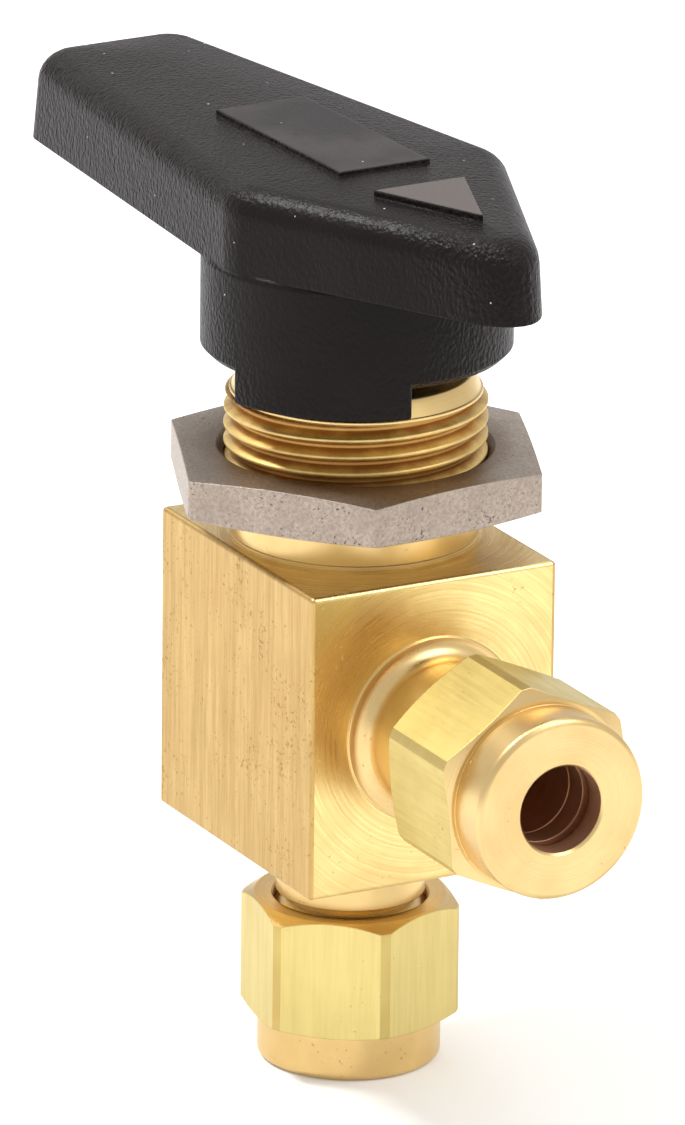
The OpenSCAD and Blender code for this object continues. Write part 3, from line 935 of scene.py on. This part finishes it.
@dataclass
class PanelNut:
    """Plated hexagon nut on the panel neck."""

    across: float = 25.4
    thickness: float = 3.4
    z0: float = 43.3
    turn: float = 38.0
    bore_r: float = 9.585
    lead: float = 0.5
    corner_cut: float = 0.05
    flat_margin: float = 0.15
    slope: float = 8.0
    edge: float = 0.16

    def build(self) -> Object:
        """Builds the nut.

        Returns:
            The object, in metres.
        """
        corner = self.across / math.sqrt(3) - self.corner_cut
        flat = self.across / 2 - self.flat_margin
        rise = (corner - flat) * math.tan(math.radians(self.slope))
        top = self.thickness
        bm = turned([(self.bore_r, 0), (flat, 0), (corner, rise), (corner, top - rise), (flat, top),
                     (self.bore_r + self.lead, top), (self.bore_r, top - self.lead)], solid=False)
        mill_flats(bm, self.across, self.turn)
        soften(bm, self.edge, 2, lambda mid: mid.xy.length > self.bore_r + 1, 12)
        stood(bm, Matrix.Identity(4), (0, 0, self.z0))
        return set_down(shop_object("panel_hex_nut", bm))


class NutZone(Enum):
    """The kinds of surface on a tube nut, by material slot."""

    TURNED = 0
    FLAT = 1
    BORE = 2
    CORNER = 3


@dataclass
class TubeNut:
    """Hexagon tube nut of a compression end; Z = 0 at its mouth."""

    name: str
    turn: float
    across: float = 14.29
    length: float = 12.4
    end_l: float = 3.4
    end_r: float = 6.7
    end_round: float = 0.55
    corner_share: float = 1.126
    flat_margin: float = 0.15
    slope: float = 30.0
    back_share: float = 0.6
    corner_strip: float = 0.09
    smallest_flat: float = 4.0
    edge: float = 0.1
    bore_r: float = 5.615
    shoulder_z: float = 9.9
    shoulder_l: float = 1.4
    bright_ring: tuple[float, float] = (0.5, 0.68)
    socket_r: float = 3.205
    lead: float = 0.18

    def zone(self, middle: Vector, face: BMFace) -> NutZone:
        """Which finish a face has.

        Args:
            middle: the face's middle, in millimetres.
            face: the face, with the nut still on the bench.

        Returns:
            The zone.
        """
        away = middle.xy.length
        if away < self.end_r - 0.8 and 0.2 < middle.z < self.length - self.lead:
            low, high = (self.shoulder_z + z for z in self.bright_ring)
            ring = low < middle.z < high and away < self.socket_r + 2 * NEAR
            return NutZone.TURNED if ring else NutZone.BORE
        if away > self.end_r + 0.2 and abs(face.normal.z) < NEAR:
            return NutZone.FLAT if face.calc_area() > self.smallest_flat else NutZone.CORNER
        return NutZone.TURNED

    def build(self, turn: Matrix, shift: Place) -> Object:
        """Builds the nut in its place.

        Args:
            turn: from the bench to the fitting's axis.
            shift: where its mouth is.

        Returns:
            The object, in metres.
        """
        corner = self.across / 2 * self.corner_share
        flat = self.across / 2 - self.flat_margin
        rise = (corner - flat) * math.tan(math.radians(self.slope))
        hex_l = self.length - self.end_l
        ring_z, ring_z1 = (self.shoulder_z + z for z in self.bright_ring)
        bm = turned([
            (self.bore_r + self.lead, 0), (flat, 0), (corner, rise),
            (corner, hex_l - rise * self.back_share), (flat, hex_l), (self.end_r, hex_l),
            (self.end_r, self.length), (self.socket_r + self.lead, self.length),
            (self.socket_r, self.length - self.lead), (self.socket_r, ring_z1), (self.socket_r, ring_z),
            (self.socket_r + 1, self.shoulder_z), (self.bore_r, self.shoulder_z - self.shoulder_l),
            (self.bore_r, self.lead)], solid=False)
        soften(bm, self.end_round, 5,
               lambda mid: mid.z > self.length - NEAR and mid.xy.length > self.end_r - 0.05)
        mill_flats(bm, self.across, self.turn)
        corner = self.across / math.sqrt(3) - 0.4
        soften(bm, self.corner_strip, 1,
               lambda mid: mid.xy.length > corner and rise < mid.z < hex_l - rise, 40)
        soften(bm, self.edge, 2,
               lambda mid: mid.xy.length > self.end_r + 0.2 and 0.02 < mid.z < hex_l - 0.02, 34)
        for face in bm.faces:
            face.material_index = self.zone(face.calc_center_median(), face).value
        stood(bm, turn, shift)
        return set_down(shop_object(self.name, bm))


def reach_to(point: Vector, ends: tuple[Vector, Vector]) -> float:
    """How far a point is from a straight edge."""
    foot, share = intersect_point_line(point, *ends)
    return (point - foot).length if 0 < share < 1 else min((point - end).length for end in ends)


@dataclass
class LeverHandle:
    """Moulded lever handle: slab with pointer, skirt, stop lugs and raised marks."""

    rest_turn: float = 2.0
    lever_l: float = 38.9
    pointer_l: float = 22.5
    lever_w: float = 13.4
    hub_w: float = 22.6
    bend_x: float = 0.8
    lever_z: float = 61.45
    lever_fall: float = 0.6
    tip_rise: float = 0.5
    top_z: float = 67.75
    top_r: float = 2.2
    draft: float = 0.12
    crown: float = 0.44
    crown_reach: float = 6.5
    crown_step: float = 1.45
    crown_lines: tuple[int, int] = (-28, 20)
    end_lean: float = 1.2
    tip_lean: float = 0.9
    end_corner_r: float = 3.0
    bend_corner_r: float = 4.0
    tip_corner_r: float = 3.4
    skirt_r: float = 11.27
    skirt_z: float = 54.05
    skirt_wall: float = 2.2
    insert_r: float = 5.4
    insert_z: float = 55.45
    insert_z1: float = 65.55
    lug_r0: float = 6.45
    lug_r1: float = 9.25
    lug_z: float = 51.85
    lug_mid: float = -45.0
    lug_span: float = 71.7
    lug_edge: float = 0.22
    screw_r: float = 1.5
    screw_z: float = 58.65
    screw_turn: float = 90.0
    relief_t: float = 0.75
    relief_w: float = 7.4
    arrow: tuple[float, float] = (8.6, 17.5)
    plate: tuple[float, float] = (-14.3, 3.7)

    def outline(self) -> list[tuple[float, float]]:
        """The slab's corners before they are rounded, counter-clockwise from the lever's end."""
        half_hub = self.hub_w / 2
        reach = self.tip_corner_r
        run = (self.pointer_l - reach) - self.bend_x
        centre = Vector((run, -(half_hub - self.bend_corner_r)))
        side = math.asin((self.bend_corner_r - self.tip_corner_r) / centre.length)
        slope = math.atan2(half_hub - self.bend_corner_r, run) + side
        tip = (self.pointer_l - reach) + self.tip_corner_r / math.sin(slope)
        back = -self.lever_l
        bend = self._bend_corner(slope)
        lever = self._lever_corner()
        return [(back, -lever), (bend[0], -bend[1]), (tip, 0.0), (bend[0], bend[1]), (back, lever)]

    def _lever_slope(self) -> float:
        """The angle of the lever's flank to its middle line."""
        run = self.bend_x - (self.end_corner_r - self.lever_l)
        rise = (self.hub_w / 2 - self.bend_corner_r) - (self.lever_w / 2 - self.end_corner_r)
        length = math.hypot(run, rise)
        return math.atan2(rise, run) + math.asin((self.bend_corner_r - self.end_corner_r) / length)

    def _lever_corner(self) -> float:
        """Half the lever's width at its very end, along its flank's line."""
        a = self._lever_slope()
        x = self.end_corner_r - self.lever_l - self.end_corner_r * math.sin(a)
        y = self.lever_w / 2 - self.end_corner_r + self.end_corner_r * math.cos(a)
        return y - (x + self.lever_l) * math.tan(a)

    def _bend_corner(self, slope: float) -> tuple[float, float]:
        """Where the lever's flank line meets the pointer's."""
        a = self._lever_slope()
        y0 = self.hub_w / 2 - self.bend_corner_r
        x1, y1 = self.bend_x - self.bend_corner_r * math.sin(a), y0 + self.bend_corner_r * math.cos(a)
        x2 = self.bend_x + self.bend_corner_r * math.sin(slope)
        y2 = y0 + self.bend_corner_r * math.cos(slope)
        ta, ts = math.tan(a), math.tan(slope)
        x = (y2 - y1 + ta * x1 + ts * x2) / (ta + ts)
        return x, y1 + ta * (x - x1)

    def slab(self) -> BMesh:
        """The lever and pointer, with sloped flanks, round corners and a crowned top."""
        bm = bmesh.new()
        corners = self.outline()
        base = bm.faces.new([bm.verts.new((x, y, self.lever_z)) for x, y in corners])
        height = self.top_z - self.lever_z
        inset = self.draft * (height - self.top_r)
        bmesh.ops.inset_region(bm, faces=[base], thickness=inset, depth=height, use_boundary=True,
                               use_even_offset=True)
        top = max(bm.faces, key=lambda f: f.calc_center_median().z)
        for vert in top.verts:
            vert.co.z = self.top_z
            if vert.co.x < -self.lever_l / 2:
                vert.co.x += self.end_lean
            elif vert.co.x > self.pointer_l / 2:
                vert.co.x -= self.tip_lean
        for vert in bm.verts:
            if vert.co.z < self.lever_z + NEAR:
                past = vert.co.x - self.bend_x
                vert.co.z += past * (self.tip_rise / self.pointer_l if past > 0
                                     else self.lever_fall / self.lever_l)
        bmesh.ops.holes_fill(bm, edges=[e for e in bm.edges if e.is_boundary])
        points = [Vector(c) for c in corners]
        for k, radius in enumerate((self.end_corner_r, self.bend_corner_r, self.tip_corner_r,
                                    self.bend_corner_r, self.end_corner_r)):
            before = points[k] - points[k - 1]
            after = points[(k + 1) % 5] - points[k]
            reach = radius * math.tan(before.angle(after) / 2)
            edges = [e for e in bm.edges if abs(e.verts[0].co.z - e.verts[1].co.z) > 3
                     and ((e.verts[0].co + e.verts[1].co).xy / 2 - points[k]).length < 2.5]
            bmesh.ops.bevel(bm, geom=edges, offset=reach, offset_type="OFFSET", affect="EDGES",
                            segments=10, profile=0.5, material=-1)
        soften(bm, self.top_r, 7, lambda mid: mid.z > self.top_z - 0.05, 40)
        face_outwards(bm)
        self.crown_top(bm)
        bmesh.ops.triangulate(bm, faces=[f for f in bm.faces if len(f.verts) > 4])
        return bm

    def crown_top(self, bm: BMesh) -> None:
        """Raises the slab's flat top into a shallow crown.

        Args:
            bm: the slab.
        """
        rim = [(e.verts[0].co.copy(), e.verts[1].co.copy())
               for e in max(bm.faces, key=lambda f: f.normal.z * f.calc_area()).edges]
        for line in (Vector((1, 0, 0)), Vector((0, 1, 0))):
            for k in range(*self.crown_lines):
                flat = [f for f in bm.faces if f.calc_center_median().z > self.top_z - NEAR]
                near = dict.fromkeys([*flat, *(e for f in flat for e in f.edges),
                                      *(v for f in flat for v in f.verts)])
                bmesh.ops.bisect_plane(bm, geom=list(near), dist=MERGE, plane_no=line,
                                       plane_co=line * (k * self.crown_step + 0.03))
        for vert in bm.verts:
            if vert.co.z > self.top_z - NEAR:
                share = min(min(reach_to(vert.co, ends) for ends in rim) / self.crown_reach, 1.0)
                vert.co.z += self.crown * (1 - (1 - share) ** 2)

    def mark(self, corners: Sequence[tuple[float, float]]) -> BMesh:
        """A low raised mark on the slab's top, its rim softened."""
        bm = bmesh.new()
        face = bm.faces.new([bm.verts.new((x, y, self.top_z - SUNK)) for x, y in corners])
        grown = bmesh.ops.extrude_face_region(bm, geom=[face])
        top = [v for v in grown["geom"] if isinstance(v, BMVert)]
        bmesh.ops.translate(bm, vec=(0, 0, SUNK + self.relief_t), verts=top)
        face_outwards(bm)
        soften(bm, 0.12, 2, lambda mid: mid.z > self.top_z)
        return bm

    def build(self) -> Object:
        """Builds the whole handle.

        Returns:
            The object, in metres.
        """
        skirt = turned([(self.skirt_r - 0.5, self.skirt_z), (self.skirt_r, self.skirt_z + 0.5),
                        (self.skirt_r, self.lever_z - 0.25), (self.skirt_r - 0.12, self.lever_z + 0.1),
                        (self.skirt_r - 1.6, self.lever_z + 1.5)])
        lugs = [sector(self.lug_r1, self.skirt_r, self.lug_z, self.skirt_z + SUNK,
                       a + self.lug_mid, self.lug_span) for a in (0, 180)]
        for lug in lugs:
            soften(lug, self.lug_edge, 3,
                   lambda mid: mid.xy.length > self.skirt_r - 0.4 or mid.z < self.lug_z + 0.1)
        roof_z = self.insert_z - 0.2
        gaps = [sector(self.lug_r0 - 0.05, self.skirt_r - self.skirt_wall, self.skirt_z - SUNK, roof_z,
                       a + self.lug_mid + 90, 180 - self.lug_span) for a in (0, 180)]
        half = self.relief_w / 2
        arrow = self.mark([(self.arrow[0], -half), (self.arrow[1], 0.0), (self.arrow[0], half)])
        plate = self.mark([(self.plate[0], -half), (self.plate[1], -half), (self.plate[1], half),
                           (self.plate[0], half)])
        cavity = turned([(self.lug_r0, self.skirt_z - SUNK), (self.lug_r0, roof_z),
                         (self.insert_r, roof_z), (self.insert_r, self.insert_z1)])
        hole = turned([(self.screw_r, 0), (self.screw_r, self.skirt_r * 2)], steps=32)
        way = Matrix.Rotation(math.radians(self.screw_turn), 4, "Z")
        stood(hole, way @ Matrix.Rotation(math.pi / 2, 4, "Y"), (0, 0, self.screw_z))
        piece = shop_object("lever_handle", self.slab())
        joined(piece, [*((Cut.ADD, bm) for bm in (skirt, *lugs, arrow, plate)),
                       *((Cut.REMOVE, bm) for bm in (cavity, *gaps, hole))])
        for face in piece.data.polygons:
            face.material_index = int(face.center.z > self.top_z + self.relief_t - 0.05)
        piece.data.transform(Matrix.Rotation(math.radians(self.rest_turn), 4, "Z"))
        return set_down(piece)


# ---- the studio ----


@dataclass
class Studio:
    """Pale floor, soft lights and the camera."""

    camera_place: Place = (0.69013, -0.36716, 0.29976)
    camera_right: Place = (0.465494, 0.884981, 0.010822)
    camera_up: Place = (-0.286182, 0.138938, 0.948058)
    lens: float = 365.4
    sensor: float = 36.0
    floor_size: float = 6.0
    floor_glow: float = 0.1
    world_light: float = 0.8
    lamps: tuple[tuple[str, Place, float, float], ...] = (
        ("right_light", (0.9, 0.7, 1.3), 0.9, 11.0),
        ("left_light", (-0.5, -0.42, 1.1), 0.26, 12.0),
        ("top_light", (-0.4, 0.2, 1.6), 1.0, 6.0),
    )

    def camera(self) -> None:
        """Sets up the camera."""
        data = bpy.data.cameras.new("camera")
        data.sensor_fit = "VERTICAL"
        data.sensor_height = self.sensor
        data.lens = self.lens
        data.clip_start = 0.01
        data.clip_end = 20
        right, up = Vector(self.camera_right), Vector(self.camera_up)
        turn = Matrix((right, up, right.cross(up))).transposed()
        camera = bpy.data.objects.new("camera", data)
        camera.matrix_world = Matrix.Translation(self.camera_place) @ turn.to_4x4()
        bpy.context.scene.collection.objects.link(camera)
        bpy.context.scene.camera = camera

    def floor(self) -> None:
        """Lays the floor."""
        bm = bmesh.new()
        bmesh.ops.create_grid(bm, x_segments=1, y_segments=1, size=self.floor_size / 2)
        mesh = bpy.data.meshes.new("floor")
        bm.to_mesh(mesh)
        bm.free()
        floor = bpy.data.objects.new("floor", mesh)
        bpy.context.scene.collection.objects.link(floor)
        paint = bpy.data.materials.new("floor_paint")
        paint.use_nodes = True
        shader = paint.node_tree.nodes["Principled BSDF"]
        shader.inputs["Base Color"].default_value = (0.8, 0.8, 0.8, 1)
        shader.inputs["Roughness"].default_value = 0.9
        shader.inputs["Emission Color"].default_value = (1, 1, 1, 1)
        shader.inputs["Emission Strength"].default_value = self.floor_glow
        mesh.materials.append(paint)

    def lights(self) -> None:
        """Hangs the lamps and sets the light of the room."""
        for name, place, size, power in self.lamps:
            data = bpy.data.lights.new(name, "AREA")
            data.shape = "DISK"
            data.size = size
            data.energy = power
            lamp = bpy.data.objects.new(name, data)
            aim = Vector((0, 0, 0.035)) - Vector(place)
            turn = aim.to_track_quat("-Z", "Y").to_matrix().to_4x4()
            lamp.matrix_world = Matrix.Translation(place) @ turn
            bpy.context.scene.collection.objects.link(lamp)
        world = bpy.data.worlds.new("room")
        world.use_nodes = True
        back = world.node_tree.nodes["Background"]
        back.inputs["Color"].default_value = (1, 1, 1, 1)
        back.inputs["Strength"].default_value = self.world_light
        bpy.context.scene.world = world

    def build(self) -> None:
        """Builds the studio."""
        self.camera()
        self.floor()
        self.lights()
        bpy.context.scene.view_settings.view_transform = "Standard"


# ---- putting it together ----


@dataclass
class Paints:
    """Every finish of the valve."""

    effects: Effects = field(default_factory=Effects)
    made: dict[str, Material] = field(default_factory=dict)

    def get(self, finish: Recipe) -> Material:
        """Gives a finish's material, building it the first time."""
        if finish.name not in self.made:
            self.made[finish.name] = finish.make(self.effects)
        return self.made[finish.name]


PORT = (0.0, 0.0, 28.8)
# The drawn sides' lines and pits are the bar's own; their tint, darker than the faced sides', is painted
# shade.
DRAWN = Brass("brass_drawn_shaded", BrassCut.DRAWN, tint=(0.625, 0.43, 0.168), shade=(0.40, 0.24, 0.075),
              shade_share=0.6, roughness=0.36, depth=0.018, pit_share=0.37)
FACED_SIDE = Brass("brass_faced_side", tint=(0.89, 0.70, 0.30), depth=0.008, feed=0.3, centre=PORT,
                   axis=Axis.SIDE_PORT)
FACED_END = Brass("brass_faced_end", tint=(0.88, 0.68, 0.30), depth=0.006, feed=0.25)
TURNED_Z = Brass("brass_turned_upright", tint=(0.80, 0.59, 0.265), shade_share=0.18, roughness=0.27,
                 depth=0.003)
TURNED_X = Brass("brass_turned_side", tint=(0.78, 0.575, 0.27), shade_share=0.18, roughness=0.27,
                 depth=0.003, centre=PORT, axis=Axis.SIDE_PORT)
FLATS_Z = Brass("brass_flats_upright", BrassCut.DRAWN, tint=(0.75, 0.615, 0.25), shade=(0.58, 0.45, 0.16),
                shade_share=0.3, stain=(0.42, 0.30, 0.08), stain_share=0.12, roughness=0.38, depth=0.005,
                edge=(0.46, 0.31, 0.09))
FLATS_X = Brass("brass_flats_side", BrassCut.DRAWN, tint=(0.70, 0.56, 0.21), shade=(0.48, 0.37, 0.115),
                shade_share=0.4, stain=(0.40, 0.30, 0.08), stain_share=0.35, roughness=0.38, depth=0.006,
                centre=PORT, axis=Axis.SIDE_PORT, edge=(0.46, 0.31, 0.09))
# The thread's dark roots are painted shade.
THREAD = Brass("brass_thread", tint=(0.88, 0.69, 0.28), roughness=0.38, root_shade_r=(8.8, 9.65))
CORNERS = Brass("brass_corner", tint=(0.67, 0.52, 0.19), shade=(0.50, 0.38, 0.12), roughness=0.36,
                edge=(0.46, 0.31, 0.09))
BORE = Brass("brass_bore", tint=(0.74, 0.45, 0.28), shade=(0.60, 0.33, 0.19), stain=(0.4, 0.2, 0.11),
             roughness=0.5, edge=(0.60, 0.33, 0.19))
PLATED = Plated("nut_plating")
NYLON = MouldedNylon("black_nylon")
NYLON_SMOOTH = MouldedNylon("black_nylon_smooth", worn=(0.085, 0.07, 0.064), roughness=0.33,
                            grain_size=0.25, grain_depth=0.006, grain_draw=1.0,
                            worn_spot=(15.0, 0.0, 68.3), worn_reach=(6.0, 13.0), worn_share=1.0)
FERRULE = Brass("ferrule_brass", tint=(0.74, 0.45, 0.28), shade=(0.60, 0.33, 0.19), roughness=0.45,
                edge=(0.60, 0.33, 0.19))
STEEL = PlainPart("stem_steel", (0.62, 0.61, 0.60), roughness=0.22)
SPRING = PlainPart("spring_steel", (0.48, 0.47, 0.46), roughness=0.33)
SEAL = PlainPart("seal_white", (0.86, 0.86, 0.84), metallic=0.0, roughness=0.45)
SCREW = PlainPart("screw_black", (0.05, 0.05, 0.052), metallic=0.6, roughness=0.4)


def dress(piece: Object, paints: Paints, finishes: Sequence[Recipe]) -> None:
    """Gives a new piece its materials, slot by slot; its faces keep their slot numbers.

    Args:
        piece: the finished object.
        paints: where the materials are made.
        finishes: the finish of each slot.
    """
    slots = [face.material_index for face in piece.data.polygons]
    piece.data.materials.clear()
    for finish in finishes:
        piece.data.materials.append(paints.get(finish))
    piece.data.polygons.foreach_set("material_index", slots)


def settle(piece: Object, body: str, node: str) -> None:
    """Hands a new piece to the frame.

    Args:
        piece: the finished object.
        body: the body it moves with.
        node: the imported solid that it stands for.
    """
    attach(piece, body)
    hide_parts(node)
    LOG.info("%s: %d faces, moves with %s", piece.name, len(piece.data.polygons), body)


def build_body(paints: Paints) -> None:
    """Builds the valve body and gives each kind of surface its finish."""
    maker = ValveBody()
    piece = maker.build()
    dress(piece, paints, (DRAWN, FACED_SIDE, FACED_END, TURNED_Z, TURNED_X, THREAD, BORE))
    for face in piece.data.polygons:
        face.material_index = maker.zone(face.center).value
    settle(piece, "body", "valve_body")


def build_nuts(paints: Paints) -> None:
    """Builds the panel nut and the two tube nuts."""
    panel = PanelNut().build()
    dress(panel, paints, (PLATED,))
    settle(panel, "panel_nut", "panel_nut")
    bottom = TubeNut("bottom_hex_nut", -51.0).build(Matrix.Rotation(math.pi, 4, "X"), (0, 0, 12.4))
    dress(bottom, paints, (TURNED_Z, FLATS_Z, BORE, CORNERS))
    settle(bottom, "bottom_nut", "bottom_tube_nut")
    side = TubeNut("side_hex_nut", 6.6).build(Matrix.Rotation(math.pi / 2, 4, "Y"), (19.1, 0, 28.8))
    dress(side, paints, (TURNED_X, FLATS_X, BORE, CORNERS))
    settle(side, "side_nut", "side_tube_nut")


def build_handle(paints: Paints) -> None:
    """Builds the lever handle."""
    piece = LeverHandle().build()
    dress(piece, paints, (NYLON, NYLON_SMOOTH))
    settle(piece, "turning_handle", "handle")


def finish_inner_parts(paints: Paints) -> None:
    """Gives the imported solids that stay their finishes."""
    finishes = {
        STEEL: ("ball_stem", "bottom_seat_ring", "side_seat_ring", "lower_gland", "upper_gland"),
        SPRING: ("disc_springs",),
        SEAL: ("lower_packing", "upper_packing", "stem_bearing"),
        FERRULE: ("bottom_front_ferrule", "bottom_back_ferrule", "side_front_ferrule",
                  "side_back_ferrule"),
        TURNED_Z: ("gland_sleeve", "packing_bolt", "handle_insert"),
        SCREW: ("handle_set_screw",),
    }
    for finish, names in finishes.items():
        for name in names:
            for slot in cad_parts[name].material_slots:
                slot.material = paints.get(finish)
            LOG.info("%s: keeps its shape, finished as %s", name, finish.name)


def main() -> None:
    """Builds the studio and the valve, piece by piece."""
    logging.basicConfig(level=logging.INFO, format="%(name)s: %(message)s")
    Studio().build()
    paints = Paints()
    build_body(paints)
    build_nuts(paints)
    build_handle(paints)
    finish_inner_parts(paints)


if __name__ == "__main__":
    main()
